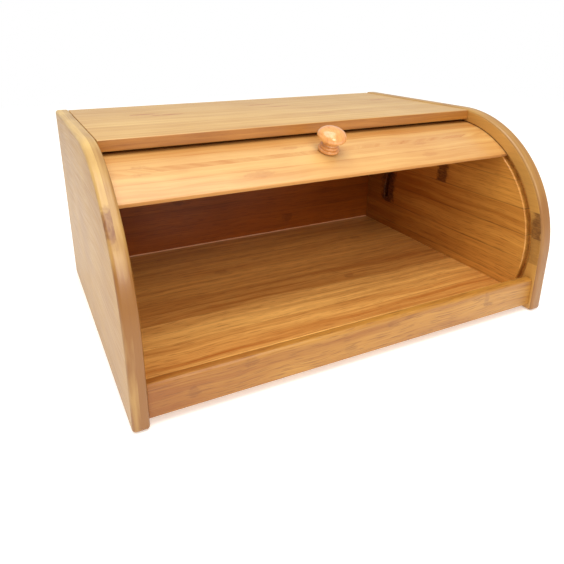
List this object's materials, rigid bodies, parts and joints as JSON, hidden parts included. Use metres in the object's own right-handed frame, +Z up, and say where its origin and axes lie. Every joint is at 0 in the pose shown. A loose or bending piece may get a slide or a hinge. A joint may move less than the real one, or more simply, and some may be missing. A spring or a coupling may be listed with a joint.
{
  "type": "roll top bread box",
  "caption": "Bamboo bread box: two quarter-round side panels, top board, floor, back and front rail, with a rigid curved lid that rolls up on a round wooden knob.",
  "frame": {"origin": "centre of the base, on the surface the box stands on", "axes": "+X along the box's width to its right as seen from the front, +Y from front to back, +Z up"},
  "size_m": [0.384, 0.2794, 0.176],
  "materials": {
    "side_bamboo": "strip-laminated bamboo, planed, sanded and clear-coated, satin",
    "top_bamboo": "strip-laminated bamboo, sanded and clear-coated, satin",
    "inner_bamboo": "strip-laminated bamboo, sanded and clear-coated, satin",
    "rail_bamboo": "strip-laminated bamboo, rounded edges, clear-coated, satin",
    "lid_bamboo": "bent strip-laminated bamboo, sanded and clear-coated, satin",
    "knob_wood": "turned hardwood, gloss lacquer",
    "dowel_wood": "plain birch dowel, unfinished",
    "steel": "zinc-plated steel"
  },
  "bodies": {
    "case": {"left_side_panel": "side_bamboo", "right_side_panel": "side_bamboo", "top_board": "top_bamboo", "floor_board": "inner_bamboo", "back_panel": "inner_bamboo", "front_rail": "rail_bamboo", "top_dowel_left_1": "dowel_wood", "top_dowel_left_2": "dowel_wood", "top_dowel_left_3": "dowel_wood", "top_dowel_right_1": "dowel_wood", "top_dowel_right_2": "dowel_wood", "top_dowel_right_3": "dowel_wood", "floor_dowel_left_1": "dowel_wood", "floor_dowel_left_2": "dowel_wood", "floor_dowel_left_3": "dowel_wood", "floor_dowel_right_1": "dowel_wood", "floor_dowel_right_2": "dowel_wood", "floor_dowel_right_3": "dowel_wood", "back_dowel_left_1": "dowel_wood", "back_dowel_left_2": "dowel_wood", "back_dowel_right_1": "dowel_wood", "back_dowel_right_2": "dowel_wood", "rail_dowel_left_1": "dowel_wood", "rail_dowel_left_2": "dowel_wood", "rail_dowel_right_1": "dowel_wood", "rail_dowel_right_2": "dowel_wood"},
    "lid": {"lid_panel": "lid_bamboo", "lid_knob": "knob_wood", "knob_screw": "steel", "knob_washer": "steel"}
  },
  "joints": [
    {"name": "lid_roll", "type": "hinge", "parent": "case", "child": "lid", "pos_m": [0, -0.0202, 0.0558], "axis": [1, 0, 0], "range_deg": [-9, 68.7]}
  ]
}
